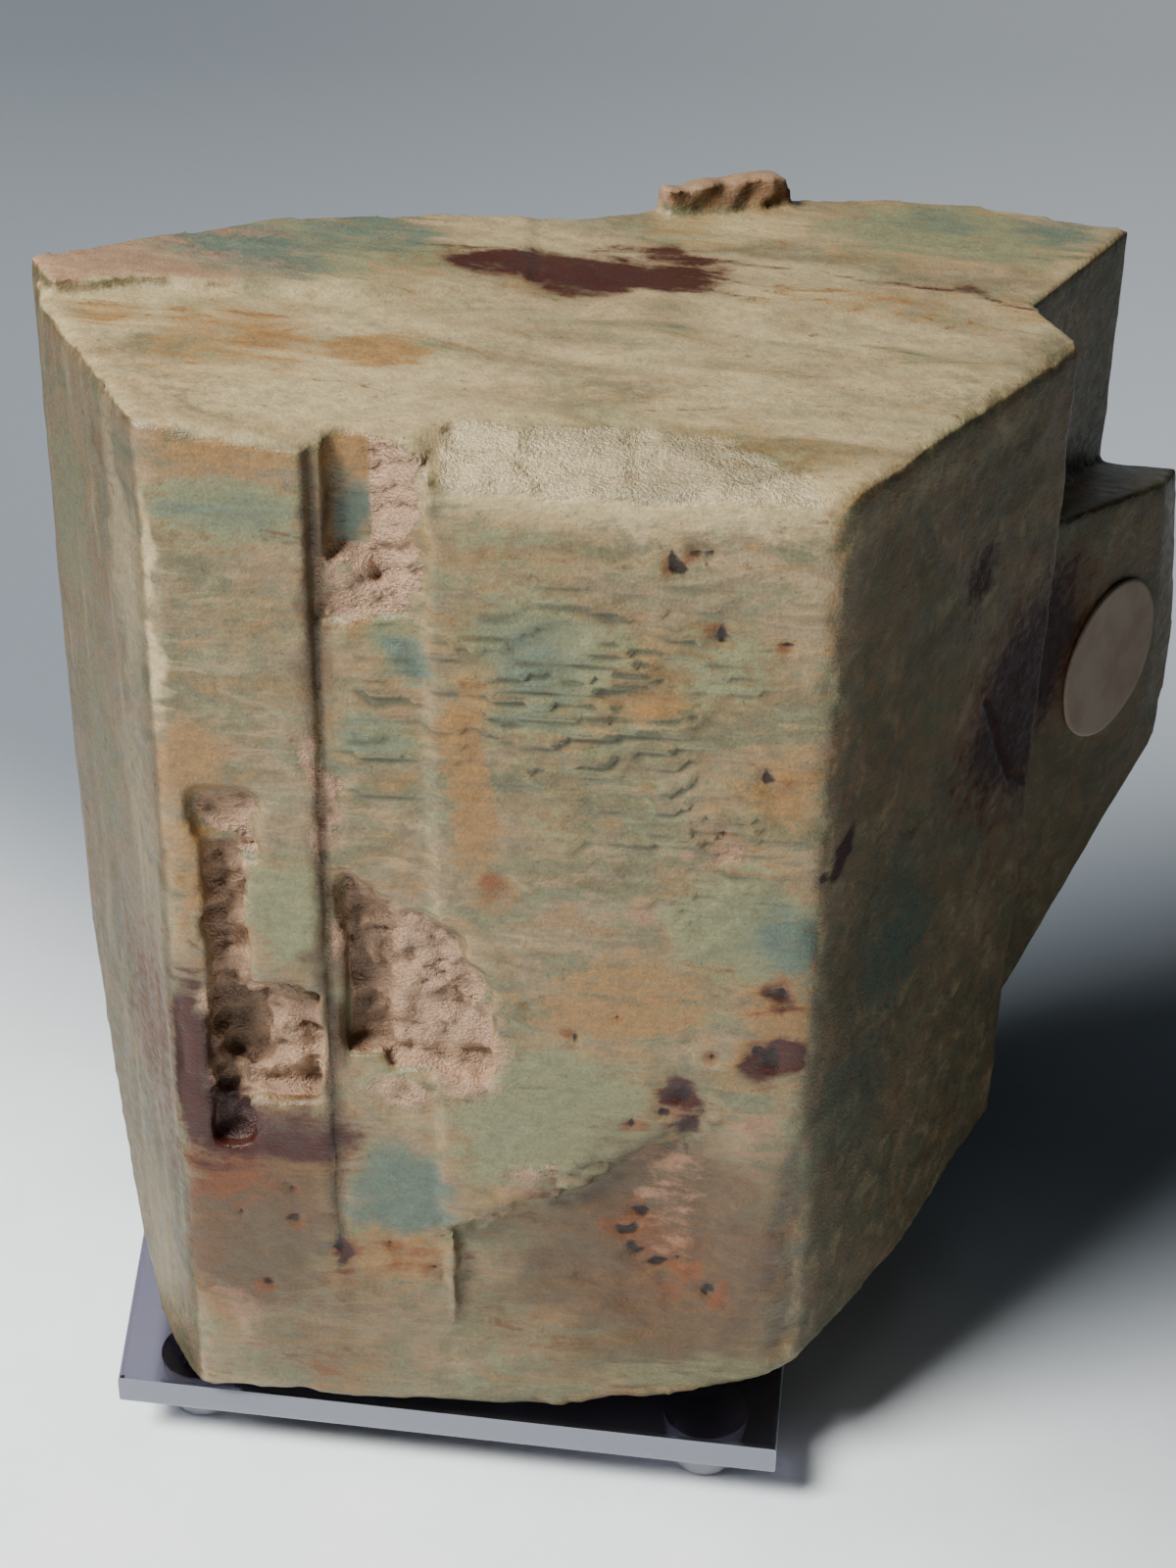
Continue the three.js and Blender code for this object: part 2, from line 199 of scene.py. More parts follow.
# Stains by kind and face; the cream spots along some edges are painted highlight and glow. On the upright
# faces u is the distance from the face's start and v the height; on the top they are x and y. Each is (u,
# v, half width, half height, strength).
STAINS = {
    "green": {
        "front": [
            (6.5, 94.8, 6.9, 3, 0.8), (7.8, 86, 4.6, 2.5, 0.35), (10.1, 59, 3.7, 5.1, 0.8),
            (10.3, 23.2, 2.9, 5, 0.6), (18.4, 82.3, 3.7, 3.4, 0.6), (18.1, 74.9, 3.5, 3.1, 0.6),
            (29.5, 93.5, 5.9, 2.8, 0.45), (30.7, 82.9, 6.4, 6.9, 0.75), (43.9, 82.8, 6.7, 4.2, 0.5),
            (47.2, 59.5, 6.6, 5.7, 0.9), (32, 37, 8.3, 8.9, 0.95), (17.6, 42.2, 4, 4.6, 0.5),
            (7.2, 23, 4, 4.5, 0.75), (44.4, 12.2, 10.6, 3.8, 0.7), (48.2, 72.5, 6.1, 4.5, 0.35),
            (31.6, 70, 3.7, 4.4, 0.4),
        ],
        "top": [
            (-25.4, 6, 10.2, 7.8, 0.6), (27.6, 20.9, 13.6, 7, 0.7), (0, -6.1, 8, 2.1, 0.4),
            (10.3, -24.9, 7.5, 3.2, 0.4), (23.6, -6.6, 4.5, 1.9, 0.4),
        ],
        "right": [
            (7, 82.9, 5, 9.3, 0.4), (15.4, 50.5, 7.6, 6.8, 0.6), (18.4, 72.5, 5.6, 4, 0.5),
            (34.5, 86.8, 5.5, 6.4, 0.4), (13.3, 35.8, 6.8, 6, 0.3),
        ],
        "left": [
            (18.1, 87.1, 5.6, 9.8, 0.6), (13.6, 66.4, 5.1, 14.2, 0.5), (18.3, 30.3, 6.4, 11.9, 0.4),
        ],
        "small": [(9.4, 37.2, 6.3, 5.2, 0.5), (-4.2, 71.1, 2.8, 4.4, 0.4)],
    },
    "teal": {
        "front": [
            (15.6, 93.8, 1.5, 3.2, 0.9), (6.3, 94.6, 5.5, 1.6, 0.5), (30, 81.8, 4.2, 4.5, 0.55),
            (50.9, 58.7, 3.6, 3.4, 0.9), (17, 31.4, 3.2, 3.6, 0.9), (20.2, 30.4, 2.8, 3.8, 0.9),
            (18.4, 27.4, 4.6, 1.8, 1), (19.6, 82, 2.4, 1.4, 0.8), (17.7, 74.6, 2.7, 2, 0.4),
        ],
        "top": [
            (-38.2, 2.6, 10.7, 6, 1), (-23.1, 8.8, 7, 4.2, 0.6), (-4.8, -5.5, 12.8, 2.4, 0.3),
            (38.7, 24.1, 4.6, 5.3, 0.6), (26.1, 24, 4.6, 2.3, 0.4), (-4.3, 16.9, 4.3, 2.2, 0.3),
        ],
        "right": [(15, 52, 8, 9, 0.6), (9, 38, 6, 9, 0.5), (20, 76, 6, 6, 0.3)],
    },
    "ochre": {
        "front": [
            (6.7, 99.8, 6.8, 1.8, 0.7), (10.7, 100, 2.8, 1.5, 0.6), (3.1, 72.8, 3.5, 3.7, 0.7),
            (1.7, 62.5, 1.8, 6.6, 0.7), (15.8, 100.4, 1.5, 2.6, 0.9), (16, 83.1, 1, 1.8, 0.5),
            (25.1, 71.9, 2.2, 10.1, 0.85), (39.2, 79.1, 1.9, 2.1, 0.6), (48.8, 73.2, 3.2, 2.9, 0.7),
            (37.3, 51.5, 7.8, 4.8, 0.65), (6.4, 33, 6.6, 4.8, 0.8), (50.5, 48.6, 3.8, 5.2, 0.8),
            (29.1, 50.6, 2.4, 1.9, 0.4), (40.5, 24.3, 5.2, 6.1, 0.8), (13, 20.1, 2.2, 1.7, 0.6),
            (28.3, 30.7, 3.4, 2.2, 0.6), (41.2, 93.8, 3, 2.8, 0.4), (1.2, 22, 1.8, 9, 0.8),
            (53.1, 90.7, 0.7, 8.1, 0.4), (14.1, 8.8, 5.5, 2.7, 0.4), (18.1, 23, 5, 3.1, 0.7),
        ],
        "top": [
            (-22.4, -14.8, 5.3, 3.1, 0.9), (-33, -14, 9, 6, 0.5), (-43.6, -11.4, 3, 3.6, 0.5),
            (3.6, 17.1, 5.3, 3.9, 0.5), (20.9, 5, 12.8, 3.6, 0.4), (-33.7, -13, 5.6, 1.8, 0.3),
            (-8.2, 1.6, 6.5, 1.5, 0.4), (32, 5.8, 3.5, 3.1, 0.5),
        ],
    },
    "rust": {
        "front": [
            (26.4, 61.9, 1.4, 1.6, 0.9), (24.8, 71.2, 1.8, 3.6, 0.35), (1.5, 41.1, 2.1, 10.4, 0.9),
            (8.1, 36.5, 5.5, 3.3, 0.6), (50.5, 48.9, 3.4, 5, 0.6), (42.7, 40.7, 2.7, 3.6, 0.7),
            (40.9, 24.4, 3.4, 5, 0.6), (13.8, 59.7, 0.8, 3.1, 0.4), (3, 31.5, 4.2, 3.8, 1),
            (13.8, 22.9, 0.7, 2.2, 0.8), (19.9, 23, 2.4, 1.8, 0.5), (12.5, 10.1, 0.7, 1.2, 0.5),
        ],
        "right": [
            (34.1, 66, 10.6, 12.5, 1), (23.3, 82.8, 3.8, 3.4, 0.6), (24.9, 21.2, 12, 7.3, 0.3),
            (2.1, 70.8, 2.1, 1.9, 0.5),
        ],
        "small": [(-6, 66, 5, 10, 0.9)],
        "left": [
            (5.6, 43.6, 6.3, 10.1, 0.8), (5, 30.6, 5.8, 5.1, 0.5), (7.8, 97.2, 5.8, 1.8, 0.4),
            (22.4, 70.6, 3.1, 13.1, 0.3),
        ],
    },
    "maroon": {
        "front": [
            (1.5, 42.7, 2.8, 9, 1), (3.5, 36.5, 4.2, 3.6, 1), (9, 36, 5, 2.4, 0.7),
            (9.8, 37.5, 3.3, 2.1, 0.35), (50.6, 46.1, 1.6, 2.1, 1), (50.4, 52, 1.2, 1.1, 0.9),
            (43, 42.3, 1.8, 1.2, 0.9), (43, 38.8, 1.3, 1.4, 0.9), (13.2, 23.1, 0.5, 1.8, 0.9),
        ],
        "top": [
            (-4.2, 6.1, 10.8, 3.5, 0.95), (-13.7, 5, 3.7, 1.7, 0.7), (3.5, 11, 5.1, 2.1, 0.6),
            (-4.1, 4, 4.2, 3, 0.8),
        ],
        "right": [
            (34.1, 66, 7.4, 8.3, 0.95), (23.3, 82.7, 2.8, 2.5, 0.6), (3.8, 65.3, 1.4, 1.1, 0.9),
            (1.1, 65.1, 0.7, 0.8, 0.8),
        ],
        "small": [(-7.5, 66, 3.6, 7.5, 0.85)],
    },
    "pink": {
        "front": [
            (34.4, 61.6, 4.9, 4.8, 0.45), (39.4, 59.2, 1.6, 2.6, 0.5), (17.2, 9.3, 5.9, 2.4, 0.2),
            (42, 30.8, 2.9, 6.8, 0.6), (3.3, 15.4, 2.9, 3.5, 0.7), (13, 79, 1.7, 2.2, 0.3),
            (29.2, 32.4, 3.4, 2.2, 0.7), (22.8, 33.6, 1.3, 6.4, 0.4), (49.2, 38, 2.5, 3.7, 0.5),
            (44.6, 66.4, 2.4, 1.4, 0.7), (8.8, 74.4, 2.3, 2.2, 0.3),
        ],
    },
    "broken": {
        "front": [
            (4.7, 60, 2.4, 4, 0.8), (5.2, 50.5, 2, 2.8, 0.8), (8.5, 42.2, 5, 2.6, 0.75),
            (5.4, 37.8, 3, 2.2, 0.6), (15.6, 56.6, 1.6, 4.4, 0.6), (25.4, 46.4, 3.6, 5.2, 0.9),
            (18.8, 41.2, 3.8, 1.8, 0.8), (13.3, 70, 0.8, 8, 0.7), (29.6, 33.6, 3, 1.2, 0.5),
            (45, 66.2, 1.4, 1, 0.5),
        ],
    },
    # Cream patches, and painted highlight and glow along the front's left edge, the lit edge of the step
    # near 22 along, and the top edges.
    "cream_and_edge_glow": {
        "front": [
            (6.8, 102.1, 6.7, 0.5, 0.9), (0, 90.6, 0.7, 10.8, 0.8), (0.2, 82.7, 1, 7.3, 0.8),
            (1.1, 64.4, 0.9, 12.2, 0.5), (37.5, 97.4, 15.2, 3.2, 1), (44.8, 95.8, 8, 2.2, 0.7),
            (21.8, 63.7, 0.8, 27.3, 0.25), (4.3, 58.7, 1.8, 2.5, 1), (11.3, 42.6, 1.3, 1.3, 0.9),
            (17.5, 43, 2.5, 1.3, 0.9), (4.8, 50.8, 2.3, 1.2, 0.6), (2.8, 14.3, 1.6, 2.8, 0.6),
            (28.8, 88.3, 3, 2.1, 0.5), (22.5, 43, 0.8, 10.3, 0.4), (18.6, 39.7, 3, 3.1, 0.5),
        ],
        "top": [
            (-29.9, -23.2, 11.5, 3.7, 0.5), (-9.6, -29.5, 6.5, 5.5, 0.7),
            (3, -17.1, 10.8, 4.3, 0.35), (8.9, -30.7, 6.2, 2.3, 0.8), (26.2, -12.5, 5.2, 4.5, 0.5),
        ],
        "right": [(10.4, 95, 10.8, 2.6, 0.5), (25.2, 94.5, 12, 2.4, 0.4)],
        "left": [
            (5.2, 89.2, 2.9, 13, 0.7), (3.8, 66.4, 4.7, 13.1, 0.5), (9.2, 14.9, 7.8, 13.8, 0.6),
        ],
    },
    "brown": {
        "front": [
            (39.3, 18.6, 16.1, 9.8, 0.6), (12.3, 16, 10.9, 9.3, 0.45), (8.8, 46.8, 5, 5.6, 0.5),
            (50.4, 31.6, 4.2, 8.1, 0.4), (16.2, 53.3, 2.2, 9.3, 0.5), (12.2, 54.5, 1.8, 1.9, 0.5),
            (5.5, 26, 7.5, 11, 0.9), (8.5, 36, 6, 2.8, 1), (13, 88, 1.1, 16, 0.6),
            (13, 50, 0.9, 24, 0.6), (42, 24, 12, 12, 0.95),
        ],
    },
}

# Small dark holes with rusty rims in the front face: (distance, height, size).
DOTS = [
    (40.7, 92.3, 0.8), (42.6, 92.8, 0.7), (44.7, 86, 0.7), (49.4, 85.2, 0.5), (48.6, 73.6, 0.9),
    (44.9, 68.4, 0.6), (50.5, 52.9, 1.1), (50.2, 46.8, 1.3), (48.6, 47.6, 0.8), (43.2, 42.6, 1.1),
    (41.8, 40.4, 0.9), (44.7, 46.5, 0.6), (38.8, 38.9, 0.6), (39.6, 28.6, 1.0), (38.6, 26.3, 1.2),
    (39.5, 24.2, 0.9), (41.6, 22.6, 1.0), (43, 23.4, 0.7), (46, 20.8, 0.8), (4.4, 27.1, 0.6),
    (9.1, 30.1, 0.5), (9.4, 26.6, 0.6), (6.7, 19.1, 0.7), (18.4, 22.8, 0.6), (21.4, 21.3, 0.7),
    (13.1, 23.5, 0.7), (30.1, 50.6, 0.5), (33.6, 47.8, 0.4), (37.2, 50.1, 0.4), (17.6, 24.4, 0.5),
]

# Where the thin lips are on the front face, written like the stains.
LIP_ZONES = [(34, 81, 13, 10, 1), (43, 69, 10, 9, 0.7), (18, 76, 4, 10, 0.8), (7, 84, 6, 10, 0.25)]

# Where the front face is rough near its foot, written like the stains.
ROUGH_ZONES = [(38, 20, 15, 13, 1), (10, 22, 12, 11, 0.5)]

# Cracks on the right and front faces, and a dark thread on the top, each from place to place.
HOOK_CRACK = [(27, 69.2), (30.2, 64), (31.3, 61.8), (34, 58), (37.3, 56.2), (42.1, 55.4)]
LOW_CRACK = [(23.6, 26), (26.6, 28), (31.8, 30.9), (35.1, 34.3), (38.5, 35.3), (42.6, 36.5), (45, 40.8)]
TOP_LINE = [(5, 11), (16.1, 8.9), (25.4, 7.8), (33.8, 7.2)]


# The crystal's surface

def evenly_meshed(source, name, voxel):
    """A copy of a CAD node's mesh, rebuilt from even faces of about voxel millimetres."""
    rough = bpy.data.objects.new(name + "_rough", source.data.copy())
    bpy.context.scene.collection.objects.link(rough)
    remesh = rough.modifiers.new("even", "REMESH")
    remesh.mode = "VOXEL"
    remesh.voxel_size = voxel * MM
    graph = bpy.context.evaluated_depsgraph_get()
    mesh = bpy.data.meshes.new_from_object(rough.evaluated_get(graph))
    bpy.data.objects.remove(rough)
    mesh.name = name
    mesh.materials.clear()
    made = bpy.data.objects.new(name, mesh)
    bpy.context.scene.collection.objects.link(made)
    return made


def vertex_arrays(mesh):
    """Places in the design frame and normals, one row for each vertex."""
    count = len(mesh.vertices)
    places = np.empty(count * 3)
    mesh.vertices.foreach_get("co", places)
    normals = np.empty(count * 3)
    mesh.vertex_normals.foreach_get("vector", normals)
    return places.reshape(-1, 3) / MM - np.array(OFFSET), normals.reshape(-1, 3)


def set_places(mesh, places):
    """Moves the vertices to these places in the design frame."""
    mesh.vertices.foreach_set("co", ((places + np.array(OFFSET)) * MM).ravel())
    mesh.update()


def set_mask(mesh, name, values):
    """Stores one number from 0 to 1 on each vertex, for the material to read by name."""
    layer = mesh.attributes.new(name, "FLOAT", "POINT")
    layer.data.foreach_set("value", np.clip(values, 0, 1).astype(np.float32))


def warped(points, amount, scale, seed):
    """The points moved about by smooth noise, which makes borders uneven."""
    return points + amount * np.stack([fractal(points, scale, seed + i) for i in range(3)], axis=1)


def blocks(u, v, size_u, size_v, seed):
    """A random height from -1 to 1 for each small brick, as a mineral with good cleavage breaks."""
    row = np.floor(v / size_v).astype(np.int64)
    column = np.floor(u / size_u + 0.5 * lattice(row, row * 0, row * 0, seed + 5)).astype(np.int64)
    return lattice(column, row, row * 0, seed)


def facets(points, size, tilt, seed):
    """Heights of small flat facets, each tilted its own way."""
    places = points / size
    base = np.floor(places).astype(np.int64)
    nearest = np.full(len(points), 1e9)
    height = np.zeros(len(points))
    for shift in np.ndindex(3, 3, 3):
        cell = base + np.array(shift) - 1
        corner = [lattice(*cell.T, seed + i) * 0.45 + 0.5 for i in range(3)]
        away = places - cell - np.stack(corner, axis=1)
        distance = (away ** 2).sum(axis=1)
        slope = np.stack([lattice(*cell.T, seed + 10 + i) for i in range(3)], axis=1)
        closer = distance < nearest
        nearest = np.where(closer, distance, nearest)
        height = np.where(closer, (away * slope).sum(axis=1) * size * tilt, height)
    return height


def face_places(points):
    """For each face, (u, v, distance out of it) of each point."""
    found = {name: on_face(points, face) for name, face in FACES.items()}
    u, v, out = found["left"]
    found["left"] = (u, v, -out)
    found["top"] = (points[:, 0], points[:, 1], points[:, 2] - top_height(points))
    return found


def face_weights(exact, normals):
    """How much each place belongs to each face, from 0 to 1."""
    s, _, out = exact["front"]
    upward = smoothstep(normals[:, 2], 0.5, 0.8) * smoothstep(exact["top"][2], -3.4, -2.2)
    side = 1 - upward
    weights = {"top": upward}
    weights["front"] = side * smoothstep(out, -6, -4) * smoothstep(s, -0.8, 0.3)
    weights["front"] *= 1 - smoothstep(s, FRONT_WIDTH - 0.4, FRONT_WIDTH + 0.8)
    u, _, out = exact["right"]
    weights["right"] = side * smoothstep(out, -2.5, -1.2) * smoothstep(u, -0.5, 0.8)
    u, _, out = exact["left"]
    weights["left"] = side * smoothstep(out, -2.5, -1.2) * smoothstep(u, -0.2, 0.8)
    u, _, out = exact["small"]
    weights["small"] = side * smoothstep(out, -3, -1) * smoothstep(u, -9.5, -7.5)
    weights["right"] = weights["right"] * (1 - weights["small"])
    return weights


def stain_masks(weights, soft):
    """Where each kind of stain is, from 0 to 1."""
    masks = {}
    for kind, faces in STAINS.items():
        masks[kind] = np.zeros(len(weights["top"]))
        for name, spots in faces.items():
            masks[kind] = np.maximum(masks[kind], weights[name] * blobs(*soft[name][:2], spots))
    return masks


def break_masks(exact, side):
    """Where the front face's pits and notch are broken, from 0 to 1, and where painted shade darkens their
    bottoms.
    """
    s, z, out = exact["front"]
    depth = -out
    inside = smoothstep(depth, 1.0, 1.5) * smoothstep(s, 1.5, 2.5)
    inside = inside * (1 - smoothstep(s, PITS_RIGHT - 1, PITS_RIGHT + 1)) * side
    inside = inside * (1 - smoothstep(depth, 5.5, 7)) * smoothstep(z, PITS_FOOT, PITS_FOOT + 3)
    inside = inside * (1 - (np.abs(s - GROOVE_ALONG) < GROOVE_HALF_WIDTH) * (z < NOTCH_FOOT + 2))
    inside = inside * (1 - (s > STEP_ALONG) * smoothstep(z, NOTCH_FOOT + 1, NOTCH_FOOT + 5))
    glassy = (s < 17.2) * smoothstep(z, 91, 92)
    return inside * (1 - 0.95 * glassy), inside * smoothstep(depth, 2.4, 3.6)


def surface_masks(places, normals):
    """Where each face, each kind of stain and each kind of surface is, from 0 to 1, by the mask's name."""
    bent = warped(warped(places, (3.0, 3.0, 2.0), 7.0, 101), 1.0, 2.2, 111)
    near = warped(places, 1.0, 1.5, 121)
    exact = face_places(places)
    soft = face_places(bent)
    weights = face_weights(exact, normals)
    side = 1 - weights["top"]
    masks = {"on_" + name: weight for name, weight in weights.items()}
    masks.update(stain_masks(weights, soft))

    halo = [(u, v, 1.7 * size, 1.4 * size, 0.8) for u, v, size in DOTS]
    hole = [(u, v, 0.2 + 0.5 * size, 0.2 + 0.5 * size, min(1, 0.5 + 0.5 * size)) for u, v, size in DOTS]
    masks["rust"] = np.maximum(masks["rust"], weights["front"] * blobs(*soft["front"][:2], halo))
    masks["black"] = weights["front"] * blobs(*face_places(near)["front"][:2], hole)
    lump = smoothstep(exact["top"][2], 0.5, 1.2)
    masks["pink"] = np.maximum(masks["pink"], 0.9 * lump)
    # Painted shade in the gaps under the lips.
    masks["lip_gap_shade"] = weights["front"] * lips(places)[1]
    # Painted shade on the faces that look to the right, lifted near the front corner by a painted glow.
    painted_corner_glow = 0.85 * np.exp(-np.maximum(exact["right"][0], 0) / 3.5)
    masks["painted_right_shade"] = side * smoothstep(normals[:, 0], 0.2, 0.6) * (1 - painted_corner_glow)
    hook = np.exp(-(line_distance(*exact["right"][:2], HOOK_CRACK) / 0.35) ** 2)
    masks["maroon"] = np.maximum(masks["maroon"], weights["right"] * hook)
    thread = 0.5 * np.exp(-(line_distance(*soft["top"][:2], TOP_LINE) / 0.5) ** 2)
    masks["maroon"] = np.maximum(masks["maroon"], weights["top"] * thread)

    # The second mask is where painted shade darkens the bottoms of the pits.
    broken, masks["deep_pit_shade"] = break_masks(exact, side)
    masks["broken"] = np.maximum(masks["broken"], broken)
    s, _, out = exact["front"]
    chipped = smoothstep(out, -10, -7.5) * smoothstep(s, 21.8, 23.2) * (1 - smoothstep(s, 48, 54))
    masks["frost"] = chipped * weights["top"] * smoothstep(-exact["top"][2], 0.1, 0.35)
    return masks


def worn_edges(exact):
    """From 0 to 1 near the edges between the top and the upright faces, and down the front corners."""
    near = {name: smoothstep(place[2], -1.3, -0.2) for name, place in exact.items()}
    edges = [near["top"] * near[name] for name in ("front", "right", "left")]
    edges += [near["front"] * near["right"], near["front"] * near["left"]]
    return np.max(edges, axis=0)


def crumble(places):
    """The rough surface of a break: bricks and facets at two sizes, in millimetres."""
    u, v, _ = face_places(warped(places, 0.5, 2.0, 131))["front"]
    bricks = 0.26 * blocks(u, v, 2.3, 1.5, 6) + 0.16 * blocks(u, v, 1.15, 0.8, 7)
    climbing = (v - 0.35 * u + 0.6 * noise(places, 3.0, 9)) / 1.7
    slope = climbing - np.floor(climbing)
    in_notch = (v > NOTCH_FOOT) * (u < NOTCH_RIGHT)
    rough = bricks + facets(places, 1.7, 0.3, 8)
    return np.where(in_notch, 0.5 * (0.5 - slope) + 0.4 * rough, rough)


def lips(places):
    """Thin overlapping lips on the front face: their height, and from 0 to 1 where shade is painted in the
    gaps under them.
    """
    s, z, _ = on_face(places, FRONT)
    wavy = z + 1.9 * noise(places, (7, 7, 5), 3) + 0.7 * noise(places, (2.6, 2.6, 2), 4)
    phase = wavy / LIP_PERIOD
    part = phase - np.floor(phase)
    where = smoothstep(noise(places, (3.0, 3.0, 1.1), 5), -0.45, 0.15)
    zone = blobs(s, z, LIP_ZONES)
    # Painted shade in the gap under each lip.
    dark = smoothstep(part, 0.5, 0.9)
    return (0.05 + 0.55 * zone) * (1 - part) * where, zone * dark * where


def texture(places, masks):
    """The uneven surface of each face, in millimetres."""
    s, z, _ = on_face(places, FRONT)
    amount = 0.14 * fractal(places, 9.0, 1) + 0.06 * fractal(places, 2.2, 2, 2)
    amount += masks["on_front"] * lips(places)[0]
    rough = 0.3 * fractal(places, (2.8, 2.8, 1.9), 12) + 0.12 * blocks(s, z, 1.9, 1.2, 13)
    amount += masks["on_front"] * blobs(s, z, ROUGH_ZONES) * rough
    amount += masks["broken"] * (crumble(places) - 0.1)
    amount += masks["frost"] * (facets(places, 5.0, 0.12, 14) + facets(places, 2.0, 0.06, 15))
    amount += masks["on_left"] * 0.12 * fractal(places, (1.8, 1.8, 14), 9, 2)
    amount += masks["on_right"] * 0.16 * fractal(places, (4, 4, 2.4), 10)
    amount += masks["on_top"] * 0.08 * fractal(places, (9, 1.4, 3), 11)
    return amount


def relief(places, masks):
    """How far each vertex moves along its normal, in millimetres."""
    exact = face_places(places)
    s, z, _ = exact["front"]
    amount = texture(places, masks)
    chips = np.maximum(0, fractal(places, 2.0, 16, 2) + 0.1)
    amount -= worn_edges(exact) * (0.15 + 0.3 * chips)
    amount -= 0.45 * masks["black"] + 0.15 * masks["maroon"] * masks["on_front"]
    beside_groove = smoothstep(s, GROOVE_ALONG - 1.4, GROOVE_ALONG - 0.4) * (s < GROOVE_ALONG - 0.1)
    amount -= masks["on_front"] * 0.4 * beside_groove * smoothstep(z, 22, 30)
    bent = warped(places, 0.8, 2.0, 141)
    crack = line_distance(*face_places(bent)["front"][:2], LOW_CRACK)
    amount -= masks["on_front"] * 0.4 * np.exp(-(crack / 0.4) ** 2)
    amount += masks["on_front"] * 0.6 * np.exp(-(crack / 2.0) ** 2) * crumble(places)
    hook = line_distance(*exact["right"][:2], HOOK_CRACK)
    amount -= masks["on_right"] * 0.25 * np.exp(-(hook / 0.4) ** 2)
    return amount


def apply_modifiers(piece):
    """Puts the modifiers' result in the mesh itself."""
    graph = bpy.context.evaluated_depsgraph_get()
    mesh = bpy.data.meshes.new_from_object(piece.evaluated_get(graph))
    piece.modifiers.clear()
    piece.data = mesh


def weigh_vertices(piece, name, weights):
    """A vertex group with the weights, which go from 0 to 1 in tenths."""
    group = piece.vertex_groups.new(name=name)
    for level in range(1, 11):
        chosen = np.flatnonzero(np.round(weights * 10) == level)
        group.add(chosen.tolist(), level / 10, "REPLACE")


def thin_out(piece, most, masks):
    """Merges faces down to at most this many triangles, first where the surface has no stains to carry."""
    triangles = sum(len(face.vertices) - 2 for face in piece.data.polygons)
    stained = sum(masks["on_" + name] for name in ("top", "front", "right", "left", "small"))
    weigh_vertices(piece, "plain", 1 - np.clip(stained, 0, 1))
    modifier = piece.modifiers.new("thin_out", "DECIMATE")
    modifier.ratio = min(1, most / triangles)
    modifier.vertex_group = "plain"
    modifier.vertex_group_factor = 20
    apply_modifiers(piece)
    piece.vertex_groups.clear()


def round_off(piece):
    """Softens the edges, most of all along the chipped front edge of the top."""
    places, _ = vertex_arrays(piece.data)
    s, _, out = on_face(places, FRONT)
    below_top = top_height(places) - places[:, 2]
    chipped = smoothstep(out, -9, -7) * (1 - smoothstep(below_top, 4, 6)) * smoothstep(s, 22.4, 24)
    weigh_vertices(piece, "soft", 0.12 + 0.88 * chipped)
    modifier = piece.modifiers.new("soft", "SMOOTH")
    modifier.factor = 0.5
    modifier.iterations = 20
    modifier.vertex_group = "soft"
    apply_modifiers(piece)
    piece.vertex_groups.clear()


def crystal_piece():
    """The CAD crystal's surface, rebuilt finely, roughened, and masked for its stains."""
    piece = evenly_meshed(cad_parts["crystal"], "crystal_surface", VOXEL)
    round_off(piece)
    places, normals = vertex_arrays(piece.data)
    masks = surface_masks(places, normals)
    set_places(piece.data, places + normals * relief(places, masks)[:, None])
    thin_out(piece, MOST_TRIANGLES, masks)
    places, normals = vertex_arrays(piece.data)
    masks = surface_masks(places, normals)
    # Painted shade in the low spots of the broken surface.
    masks["low"] = masks["broken"] * smoothstep(-crumble(places), 0.05, 0.5)
    for name, values in masks.items():
        set_mask(piece.data, name, values)
    piece.data.shade_smooth()
    piece.data.materials.append(crystal_material())
    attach(piece, "root")
    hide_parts("crystal")


# Node trees

